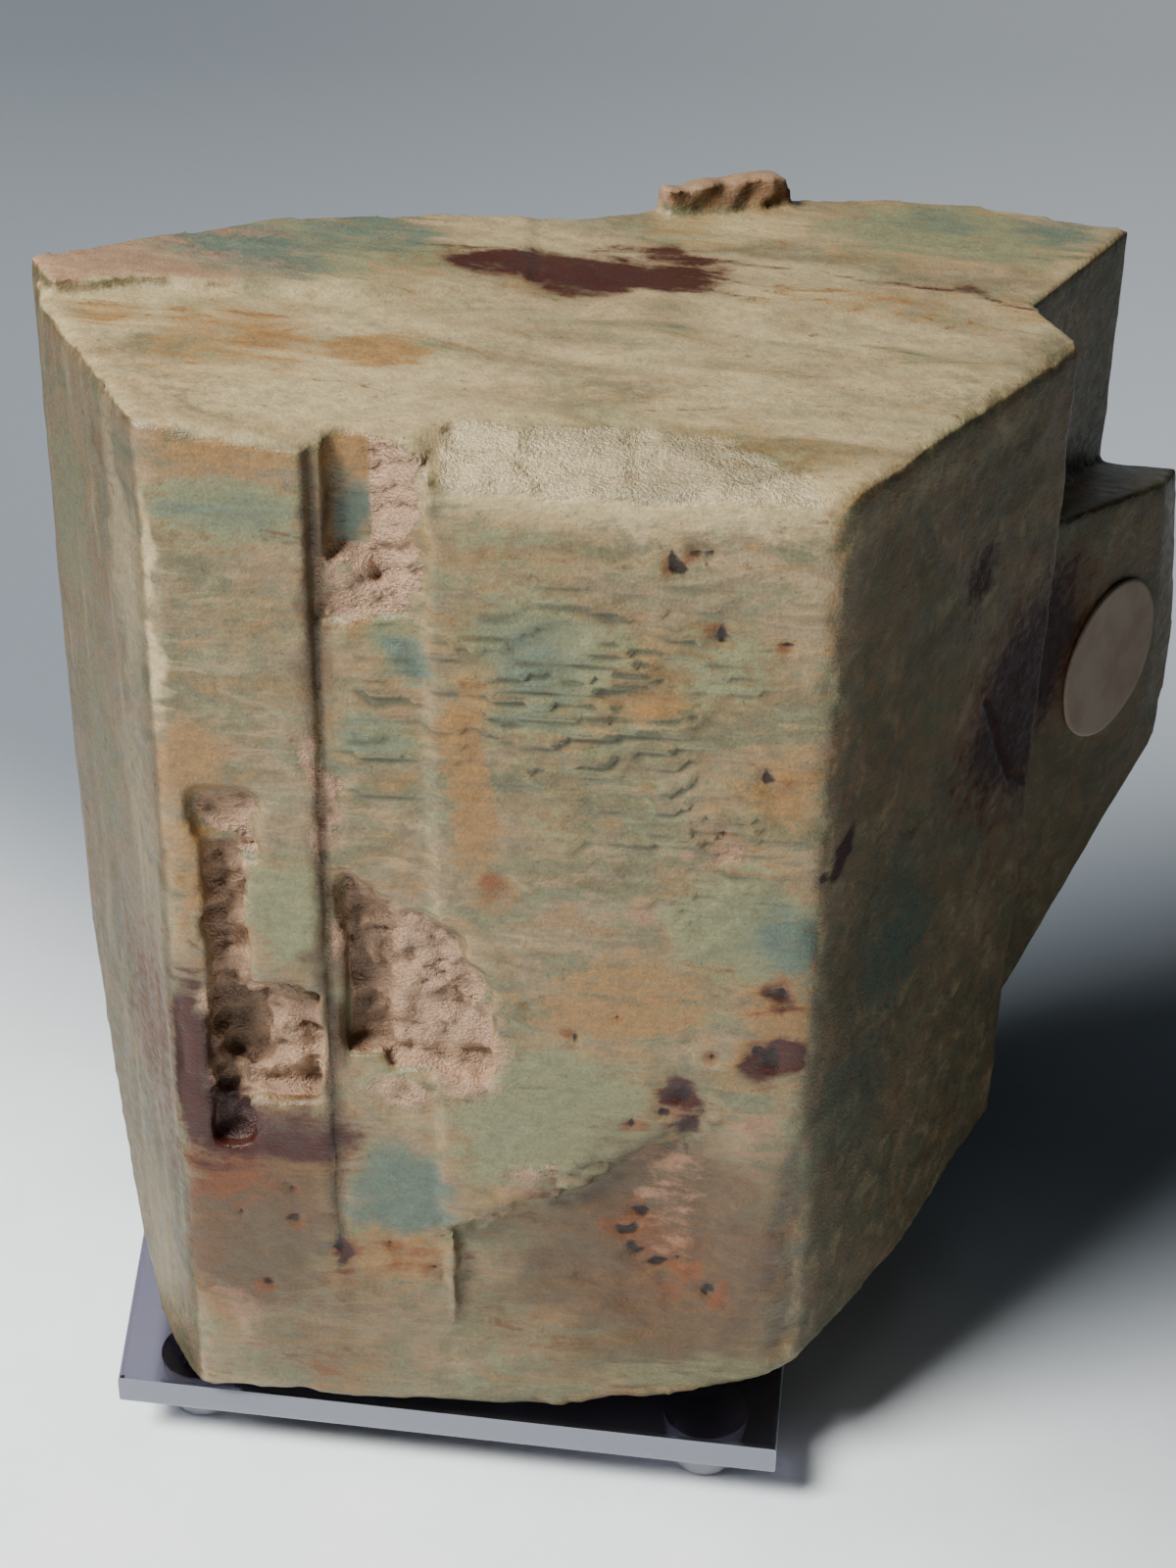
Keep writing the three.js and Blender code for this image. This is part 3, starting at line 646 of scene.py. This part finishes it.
class Nodes:
    """Builds one material's node tree. Each method returns the socket that it makes."""

    def __init__(self, name):
        self.material = bpy.data.materials.new(name)
        self.material.use_nodes = True
        self.tree = self.material.node_tree
        self.tree.nodes.clear()

    def node(self, kind, inputs=None, **settings):
        made = self.tree.nodes.new("ShaderNode" + kind)
        for key, value in settings.items():
            setattr(made, key, value)
        for key, value in (inputs or {}).items():
            self.feed(made.inputs[key], value)
        return made

    def feed(self, socket, value):
        if isinstance(value, bpy.types.NodeSocket):
            self.tree.links.new(value, socket)
        else:
            socket.default_value = value

    def mask(self, name):
        """The number that set_mask stored on the mesh."""
        return self.node("Attribute", attribute_name=name).outputs["Fac"]

    def millimetres(self, scale=(1, 1, 1), turn=(0, 0, 0)):
        """Object coordinates in millimetres, turned and then stretched by scale."""
        place = self.node("TexCoord").outputs["Object"]
        angles = [math.radians(angle) for angle in turn]
        turned = self.node("Mapping", {"Vector": place, "Rotation": angles})
        scaled = {"Vector": turned.outputs["Vector"], "Scale": [value / MM for value in scale]}
        return self.node("Mapping", scaled).outputs["Vector"]

    def noise(self, scale, detail=4, roughness=0.55, turn=(0, 0, 0), distortion=0.0):
        """Noise whose features are about 1/scale millimetres long on each axis."""
        inputs = {"Vector": self.millimetres(scale, turn), "Scale": 1.0, "Detail": detail,
                  "Roughness": roughness, "Distortion": distortion}
        return self.node("TexNoise", inputs).outputs["Fac"]

    def combine(self, operation, first, second):
        made = self.node("Math", operation=operation)
        self.feed(made.inputs[0], first)
        self.feed(made.inputs[1], second)
        return made.outputs[0]

    def sum(self, first, second):
        return self.combine("ADD", first, second)

    def times(self, first, second):
        return self.combine("MULTIPLY", first, second)

    def soft(self, value, low, high, floor=0.0, ceiling=1.0):
        """Smooth step from floor to ceiling as value goes from low to high."""
        inputs = {"Value": value, "From Min": low, "From Max": high, "To Min": floor, "To Max": ceiling}
        return self.node("MapRange", inputs, interpolation_type="SMOOTHSTEP").outputs["Result"]

    def blend(self, share, first, second):
        """A colour that goes from first to second as share goes from 0 to 1."""
        made = self.node("Mix", data_type="RGBA")
        self.feed(made.inputs["Factor"], share)
        self.feed(made.inputs[6], first)
        self.feed(made.inputs[7], second)
        return made.outputs[2]

    def mean(self, share, first, second):
        """A number that goes from first to second as share goes from 0 to 1."""
        made = self.node("Mix", data_type="FLOAT")
        self.feed(made.inputs[0], share)
        self.feed(made.inputs[2], first)
        self.feed(made.inputs[3], second)
        return made.outputs[0]

    def shade(self, colour, factor):
        """The colour made lighter or darker by a factor."""
        made = self.node("VectorMath", {"Scale": factor}, operation="SCALE")
        self.feed(made.inputs[0], colour)
        return made.outputs[0]

    def bump(self, height, distance, strength, normal=None):
        """A normal roughened by height, on top of another if one is given; distance is in millimetres."""
        inputs = {"Height": height, "Distance": distance * MM, "Strength": strength}
        if normal:
            inputs["Normal"] = normal
        return self.node("Bump", inputs).outputs["Normal"]

    def finish(self, **inputs):
        """Joins a principled shader to the output, and returns the material."""
        shader = self.node("BsdfPrincipled", inputs)
        output = self.node("OutputMaterial")
        self.tree.links.new(shader.outputs["BSDF"], output.inputs["Surface"])
        return self.material


# How brightly the front face is lit, and how much richer the colours are made, because the view pales them.
FRONT_LIGHT = 1.85
RICHNESS = 1.08


def mineral(red, green, blue):
    """The colour that shows as about these 0 to 255 numbers on the lit front face of the render."""
    seen = np.array(srgb(red, green, blue)[:3])
    richer = np.maximum(seen.mean() + RICHNESS * (seen - seen.mean()), 0.004)
    return (*(richer / FRONT_LIGHT).tolist(), 1.0)


CREAM = mineral(212, 192, 148)
TAN = mineral(152, 132, 102)
OLIVE = mineral(124, 117, 88)
DUSK = mineral(106, 100, 76)
OCHRE = mineral(160, 122, 76)
GREEN = mineral(134, 138, 104)
TEAL = mineral(98, 113, 99)
RUST = mineral(124, 72, 38)
BROWN = mineral(92, 69, 50)
MAROON = mineral(64, 24, 6)
BLACK_BROWN = mineral(36, 20, 12)
PINK = mineral(166, 128, 104)
PINK_TAN = mineral(190, 152, 122)
# The colour of the painted shade in pits and in the low spots of broken surfaces.
CREVICE_SHADE = mineral(118, 92, 70)
FROST = mineral(214, 198, 160)
LIP_GAP_SHADE = mineral(82, 84, 64)

# How much darker the left face is than the front face, and how much painted shade darkens the faces that
# look to the right.
LEFT_SHADE = 0.42
PAINTED_RIGHT_SHADE = 0.6


def base_colour(nodes, lenses, islands):
    """Cream, tan, olive and ochre patches that flow into each other."""
    patches = nodes.noise((0.07, 0.11, 0.13), detail=4, roughness=0.6, distortion=1.2)
    colour = nodes.blend(nodes.soft(patches, 0.42, 0.58), OLIVE, TAN)
    colour = nodes.blend(nodes.soft(islands, 0.5, 0.66, 0, 0.5), colour, OCHRE)
    colour = nodes.blend(nodes.soft(islands, 0.48, 0.36, 0, 0.6), colour, GREEN)
    colour = nodes.blend(nodes.soft(lenses, 0.5, 0.7, 0, 0.45), colour, CREAM)
    colour = nodes.blend(nodes.soft(lenses, 0.46, 0.3, 0, 0.5), colour, DUSK)
    pale_top = nodes.times(nodes.mask("on_top"), nodes.soft(lenses, 0.3, 0.62, 0.1, 0.6))
    return nodes.blend(pale_top, colour, CREAM)


# The stains, and the painted shade, highlight and glow, in the order in which they cover each other: mask,
# colour, how far noise shifts the border, the most that the colour covers, and the shares of the mask
# between which it comes in.
STAIN_COLOURS = [
    # Cream patches, and painted highlight and glow along edges.
    ("cream_and_edge_glow", CREAM, 0.7, 0.8, 0.2, 0.8),
    ("green", OCHRE, 1.0, 0.4, 0.12, 0.38),
    ("green", GREEN, 1.0, 0.85, 0.28, 0.6),
    ("teal", TEAL, 1.0, 0.95, 0.1, 0.8),
    # Painted shade in the gaps under the lips.
    ("lip_gap_shade", LIP_GAP_SHADE, 0.5, 0.8, 0.1, 0.7),
    ("ochre", OCHRE, 1.1, 0.85, 0.2, 0.7),
    ("brown", BROWN, 1.0, 0.85, 0.1, 0.75),
    ("rust", RUST, 1.2, 0.8, 0.22, 0.95),
    ("pink", PINK, 1.4, 0.7, 0.3, 0.8),
    ("broken", PINK_TAN, 0.6, 0.9, 0.3, 0.7),
    ("frost", FROST, 0.9, 0.4, 0.2, 0.9),
    # Painted shade in the bottoms of the pits and in the low spots of broken surfaces.
    ("deep_pit_shade", CREVICE_SHADE, 0.6, 0.4, 0.3, 0.8),
    ("low", CREVICE_SHADE, 0.8, 0.4, 0.3, 0.8),
    ("maroon", MAROON, 1.0, 0.97, 0.1, 0.65),
    ("black", BLACK_BROWN, 0.5, 0.95, 0.35, 0.7),
]


def crystal_colour(nodes, level, mottle, fine):
    """Flowing patches, then the stains, then fine light and dark grain."""
    steep = nodes.noise((0.6, 0.6, 0.06), detail=3, roughness=0.6, turn=(0, 6, 0))
    slanted = nodes.noise((0.4, 0.12, 0.35), detail=3, roughness=0.6, turn=(0, 0, -35), distortion=0.6)
    calm = nodes.noise((0.05, 0.13, 0.2), detail=3, roughness=0.5, distortion=0.8)
    islands = nodes.noise((0.16, 0.24, 0.3), detail=4, roughness=0.62, distortion=1.5)
    lenses = nodes.mean(nodes.mask("on_left"), level, steep)
    lenses = nodes.mean(nodes.mask("on_right"), lenses, slanted)
    lenses = nodes.mean(nodes.mask("on_top"), lenses, calm)
    colour = base_colour(nodes, lenses, islands)

    centred_mottle = nodes.times(nodes.sum(mottle, -0.5), 0.7)
    wander = nodes.sum(centred_mottle, nodes.times(nodes.sum(level, -0.5), 1.1))
    for name, tint, reach, most, low, high in STAIN_COLOURS:
        share = nodes.sum(nodes.mask(name), nodes.times(wander, reach))
        colour = nodes.blend(nodes.soft(share, low, high, 0, most), colour, tint)

    specks = nodes.noise((1.5, 1.5, 1.9), detail=2, roughness=0.7)
    colour = nodes.blend(nodes.soft(specks, 0.66, 0.73, 0, 0.5), colour, BROWN)
    lines = nodes.mean(nodes.mask("on_top"), nodes.soft(fine, 0.3, 0.7, 0.94, 1.06), 1.0)
    colour = nodes.shade(colour, lines)
    colour = nodes.shade(colour, nodes.soft(mottle, 0.3, 0.7, 0.84, 1.16))
    grain = nodes.noise((3, 3, 3.4), detail=1)
    colour = nodes.shade(colour, nodes.soft(grain, 0.25, 0.75, 0.9, 1.1))
    colour = nodes.shade(colour, nodes.soft(nodes.mask("on_left"), 0, 1, 1, LEFT_SHADE))
    # Painted shade on the faces that look to the right.
    return nodes.shade(colour, nodes.soft(nodes.mask("painted_right_shade"), 0, 1, 1, PAINTED_RIGHT_SHADE))


def crystal_grain(nodes, mottle, fine, rough_zone):
    """The normal of a waxy, finely lined surface that is gritty where it is broken."""
    height = nodes.sum(nodes.times(fine, 0.5), nodes.times(mottle, 0.5))
    height = nodes.times(height, nodes.soft(nodes.mask("on_top"), 0, 1, 1, 0.35))
    normal = nodes.bump(height, 0.2, 0.8)
    grit = nodes.noise((3.4, 3.4, 4.2), detail=2, roughness=0.7)
    return nodes.bump(nodes.times(grit, nodes.soft(rough_zone, 0, 1, 0.2, 1.0)), 0.4, 0.9, normal)


def crystal_material():
    """Waxy, streaked stone: its colour, its grain, and less shine where it is dull."""
    nodes = Nodes("crystal_banded")
    level = nodes.noise((0.11, 0.42, 0.48), detail=4, roughness=0.55, distortion=1.2)
    mottle = nodes.noise((0.8, 0.9, 1.1), detail=3, roughness=0.7)
    fine = nodes.noise((0.3, 1.6, 2.2), detail=3, roughness=0.65, distortion=0.5)
    dull = nodes.sum(nodes.mask("painted_right_shade"), nodes.mask("on_left"))
    rough_zone = nodes.sum(nodes.mask("broken"), nodes.mask("frost"))
    roughness = nodes.sum(nodes.soft(mottle, 0.3, 0.7, 0.32, 0.52), nodes.times(nodes.mask("frost"), -0.14))
    shine = nodes.times(nodes.soft(rough_zone, 0, 1, 0.3, 0.5), nodes.soft(dull, 0, 1, 1, 0.3))
    return nodes.finish(**{
        "Base Color": crystal_colour(nodes, level, mottle, fine),
        "Roughness": roughness,
        "Normal": crystal_grain(nodes, mottle, fine, rough_zone),
        "IOR": 1.53,
        "Specular IOR Level": shine,
        "Subsurface Weight": 0.08,
        "Subsurface Radius": (0.002, 0.0014, 0.0009),
        "Subsurface Scale": 1.0,
    })


# The label, a blank paper disc

PAPER = srgb(134, 121, 107)
AGED_PAPER = srgb(122, 106, 91)
FIBRE = srgb(98, 82, 70)

# Its place on the small crystal's face; how far its back and its front stand off; and how its edge lifts,
# most at this angle in degrees.
LABEL_RADIUS = 8.0
LABEL_ALONG = 4.2
LABEL_HEIGHT = 60.6
LABEL_BACK = 0.08
LABEL_THICKNESS = 0.24
LABEL_CURL = 0.22
CURL_ANGLE = 130
LABEL_RINGS = 18
LABEL_SPOKES = 96


def label_lift(radius, angle):
    """How far the label's outer side stands off the crystal's face."""
    share = radius / LABEL_RADIUS
    curl = max(0.0, math.cos(angle - math.radians(CURL_ANGLE))) ** 2
    waves = 0.025 * math.sin(3 * angle + 4 * share) * share
    return LABEL_BACK + LABEL_THICKNESS + LABEL_CURL * curl * share ** 5 + waves


def label_places():
    """The places of the label's vertices, ring by ring, for its outer side and then for its back."""
    along_x, along_y = direction(SMALL[1])
    out = Vector((along_y, -along_x, 0))
    across = Vector((along_x, along_y, 0))
    centre = Vector((*SMALL[0], LABEL_HEIGHT)) + across * LABEL_ALONG
    places = []
    for outer_side in (True, False):
        for ring in range(LABEL_RINGS + 1):
            radius = LABEL_RADIUS * (ring / LABEL_RINGS) ** 0.8
            at_rim = ring == LABEL_RINGS
            for spoke in range(LABEL_SPOKES):
                angle = 2 * math.pi * spoke / LABEL_SPOKES
                worn = radius * (1 + 0.004 * math.sin(7 * angle) * at_rim)
                rounding = 0.06 if at_rim else 0.0
                lift = label_lift(worn, angle) - rounding if outer_side else LABEL_BACK
                flat = across * (worn * math.cos(angle)) + Vector((0, 0, worn * math.sin(angle)))
                places.append(to_scene(*(centre + flat + out * lift)))
    return places


def label_faces():
    """Squares between the rings on both sides, and a strip that joins the two rims."""
    layer = (LABEL_RINGS + 1) * LABEL_SPOKES
    rim = LABEL_RINGS * LABEL_SPOKES
    faces = []
    for start in (0, layer):
        for ring in range(LABEL_RINGS):
            inner = start + ring * LABEL_SPOKES
            outer = inner + LABEL_SPOKES
            for spoke in range(LABEL_SPOKES):
                after = (spoke + 1) % LABEL_SPOKES
                corners = [inner + spoke, outer + spoke, outer + after, inner + after]
                faces.append(corners if start == 0 else corners[::-1])
    for spoke in range(LABEL_SPOKES):
        after = (spoke + 1) % LABEL_SPOKES
        faces.append([rim + spoke, layer + rim + spoke, layer + rim + after, rim + after])
    return faces


def label_piece():
    """A thin disc that lies on the small crystal's face, its edge lifting a little at the upper left."""
    mesh = bpy.data.meshes.new("label_paper")
    mesh.from_pydata(label_places(), [], label_faces())
    piece = bpy.data.objects.new("label_paper", mesh)
    bpy.context.scene.collection.objects.link(piece)
    clean(mesh)
    mesh.shade_smooth()
    mesh.materials.append(paper_material())
    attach(piece, "root")
    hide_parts("label")


def clean(mesh):
    """Joins coincident vertices and points every face outwards."""
    work = bmesh.new()
    work.from_mesh(mesh)
    bmesh.ops.remove_doubles(work, verts=work.verts, dist=1e-6)
    bmesh.ops.recalc_face_normals(work, faces=work.faces)
    work.to_mesh(mesh)
    work.free()


def paper_material():
    """Aged paper with faint fibres."""
    nodes = Nodes("label_paper")
    fibre = nodes.noise((3, 3, 3), detail=6, roughness=0.7)
    age = nodes.noise((0.25, 0.25, 0.25), detail=4)
    colour = nodes.blend(nodes.soft(age, 0.35, 0.7), PAPER, AGED_PAPER)
    colour = nodes.blend(nodes.soft(fibre, 0.5, 0.75, 0, 0.3), colour, FIBRE)
    normal = nodes.bump(fibre, 0.05, 0.6)
    return nodes.finish(**{
        "Base Color": colour,
        "Roughness": 0.8,
        "Normal": normal,
        "Specular IOR Level": 0.3,
    })


# The clear base

# The plate's tint is darkened as painted shade for the shadow seen through it.
PLATE_TINT_PAINTED_SHADE = (0.16, 0.15, 0.2, 1)
EDGE_TINT = (0.27, 0.29, 0.35, 1)
FOOT_TINT = (0.6, 0.62, 0.68, 1)
ACRYLIC_IOR = 1.49
BUMPER_IOR = 1.45


def clear_material(name, tint, roughness, ior, clearness=1.0):
    """Clear plastic with a tint; less clearness makes it hazy."""
    nodes = Nodes(name)
    scuffs = nodes.noise((0.5, 0.5, 0.5), detail=6, roughness=0.7)
    normal = nodes.bump(scuffs, 0.02, 0.2)
    return nodes.finish(**{
        "Base Color": tint,
        "Roughness": roughness,
        "Transmission Weight": clearness,
        "IOR": ior,
        "Normal": normal,
    })


def dress_base():
    """The plate's faces are polished, with a dark tint that paints the shadow seen through it, its cut
    edges hazy; the soft feet are a little cloudy.
    """
    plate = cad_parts["stand_plate"]
    plate.data.materials.clear()
    polished = clear_material("clear_acrylic_painted_shade", PLATE_TINT_PAINTED_SHADE, 0.03, ACRYLIC_IOR)
    plate.data.materials.append(polished)
    hazy = clear_material("cut_acrylic_edge", EDGE_TINT, 0.22, ACRYLIC_IOR, clearness=0.45)
    plate.data.materials.append(hazy)
    for face in plate.data.polygons:
        face.material_index = 1 if abs(face.normal.z) < 0.5 else 0
    soft = clear_material("clear_bumper", FOOT_TINT, 0.2, BUMPER_IOR, clearness=0.7)
    for name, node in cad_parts.items():
        if name.startswith("stand_foot"):
            node.data.materials.clear()
            node.data.materials.append(soft)


# Floor, light and camera

# In metres: half the floor's width, where along Y it starts, where it begins to curve up, and the curve's
# radius and top.
FLOOR_HALF = 3.0
FLOOR_START = -2.0
FLOOR_BEND = 0.45
FLOOR_RADIUS = 0.5
FLOOR_TOP = 3.0
BEND_STEPS = 24

FLOOR_PALE = srgb(232, 238, 241)
FLOOR_PALER = srgb(242, 246, 248)
# Painted falloff of the light on the floor, and painted light on the right of the backdrop.
FLOOR_PAINTED_FALLOFF = srgb(116, 124, 132)
BACK_LEFT = srgb(136, 144, 152)
BACK_RIGHT_PAINTED_LIGHT = srgb(186, 193, 200)

# The height that the lamps point at, in metres, and their colours.
MIDDLE_HEIGHT = 0.05
KEY_COLOUR = (1.0, 0.985, 0.96)
SKY_COLOUR = (0.95, 0.98, 1.0)
ROOM_COLOUR = (0.85, 0.9, 1.0, 1)
ROOM_STRENGTH = 0.018


def floor_material():
    """Pale in front of the object, with painted falloff of the light to grey behind it and to its right,
    and a backdrop painted lighter to the right.
    """
    nodes = Nodes("floor_painted_light_pool")
    mottle = nodes.noise((0.05, 0.05, 0.05), detail=6, roughness=0.6)
    place = nodes.node("SeparateXYZ", {"Vector": nodes.millimetres()})
    behind = nodes.sum(place.outputs["Y"], nodes.times(place.outputs["X"], 0.6))
    colour = nodes.blend(nodes.soft(mottle, 0.3, 0.7), FLOOR_PALE, FLOOR_PALER)
    # Painted falloff: greyer behind the object and to its right.
    colour = nodes.blend(nodes.soft(behind, -50, 60), colour, FLOOR_PAINTED_FALLOFF)
    # Painted light: the backdrop lighter to the right.
    painted_backdrop_light = nodes.blend(nodes.soft(place.outputs["X"], -150, 250), BACK_LEFT, BACK_RIGHT_PAINTED_LIGHT)
    colour = nodes.blend(nodes.soft(behind, 40, 260), colour, painted_backdrop_light)
    normal = nodes.bump(nodes.noise((0.5, 0.5, 0.5), detail=5), 0.15, 0.3)
    return nodes.finish(**{
        "Base Color": colour,
        "Roughness": 0.9,
        "Normal": normal,
        "Specular IOR Level": 0.2,
    })


def sweep_floor():
    """A pale floor that curves up into a backdrop."""
    profile = [(FLOOR_START, 0.0), (FLOOR_BEND, 0.0)]
    for step in range(1, BEND_STEPS + 1):
        angle = math.pi / 2 * step / BEND_STEPS
        y = FLOOR_BEND + FLOOR_RADIUS * math.sin(angle)
        profile.append((y, FLOOR_RADIUS * (1 - math.cos(angle))))
    profile.append((FLOOR_BEND + FLOOR_RADIUS, FLOOR_TOP))
    vertices = [(x, y, z) for y, z in profile for x in (-FLOOR_HALF, FLOOR_HALF)]
    faces = [(2 * i, 2 * i + 1, 2 * i + 3, 2 * i + 2) for i in range(len(profile) - 1)]
    mesh = bpy.data.meshes.new("floor")
    mesh.from_pydata(vertices, [], faces)
    mesh.shade_smooth()
    mesh.materials.append(floor_material())
    floor = bpy.data.objects.new("floor", mesh)
    bpy.context.scene.collection.objects.link(floor)


def area_light(name, heading, elevation, distance, size, power, colour):
    """A square lamp at a heading and an elevation in degrees from the object; lengths are metres."""
    light = bpy.data.lights.new(name, "AREA")
    light.size = size
    light.energy = power
    light.color = colour
    lamp = bpy.data.objects.new(name, light)
    bpy.context.scene.collection.objects.link(lamp)
    flat_x, flat_y = direction(heading)
    level = math.cos(math.radians(elevation))
    toward = Vector((flat_x * level, flat_y * level, math.sin(math.radians(elevation))))
    lamp.location = Vector((0, 0, MIDDLE_HEIGHT)) + toward * distance
    lamp.rotation_mode = "QUATERNION"
    lamp.rotation_quaternion = toward.to_track_quat("Z", "Y")


def light_scene():
    """One strong lamp from the front left, a weak wide one overhead, and a dim room."""
    area_light("key", heading=215, elevation=48, distance=0.7, size=0.25, power=13.8, colour=KEY_COLOUR)
    area_light("overhead", heading=235, elevation=78, distance=0.9, size=0.6, power=0.55, colour=SKY_COLOUR)
    world = bpy.data.worlds.new("room")
    world.use_nodes = True
    background = world.node_tree.nodes["Background"]
    background.inputs["Color"].default_value = ROOM_COLOUR
    background.inputs["Strength"].default_value = ROOM_STRENGTH
    bpy.context.scene.world = world


def aim_camera():
    """The camera at the photograph's viewing angle."""
    pitch = math.radians(CAMERA_PITCH)
    roll = math.radians(CAMERA_ROLL)
    forward = Vector((0, math.cos(pitch), -math.sin(pitch)))
    right = Vector((1, 0, 0))
    up = Vector((0, math.sin(pitch), math.cos(pitch)))
    axis_x = right * math.cos(roll) - up * math.sin(roll)
    axis_y = right * math.sin(roll) + up * math.cos(roll)
    data = bpy.data.cameras.new("camera")
    data.sensor_width = 36
    data.lens = CAMERA_LENS
    camera = bpy.data.objects.new("camera", data)
    bpy.context.scene.collection.objects.link(camera)
    turn = Matrix((axis_x, axis_y, -forward)).transposed()
    camera.matrix_world = Matrix.Translation(to_scene(*CAMERA_PLACE)) @ turn.to_4x4()
    bpy.context.scene.camera = camera


aim_camera()
sweep_floor()
light_scene()
crystal_piece()
label_piece()
dress_base()
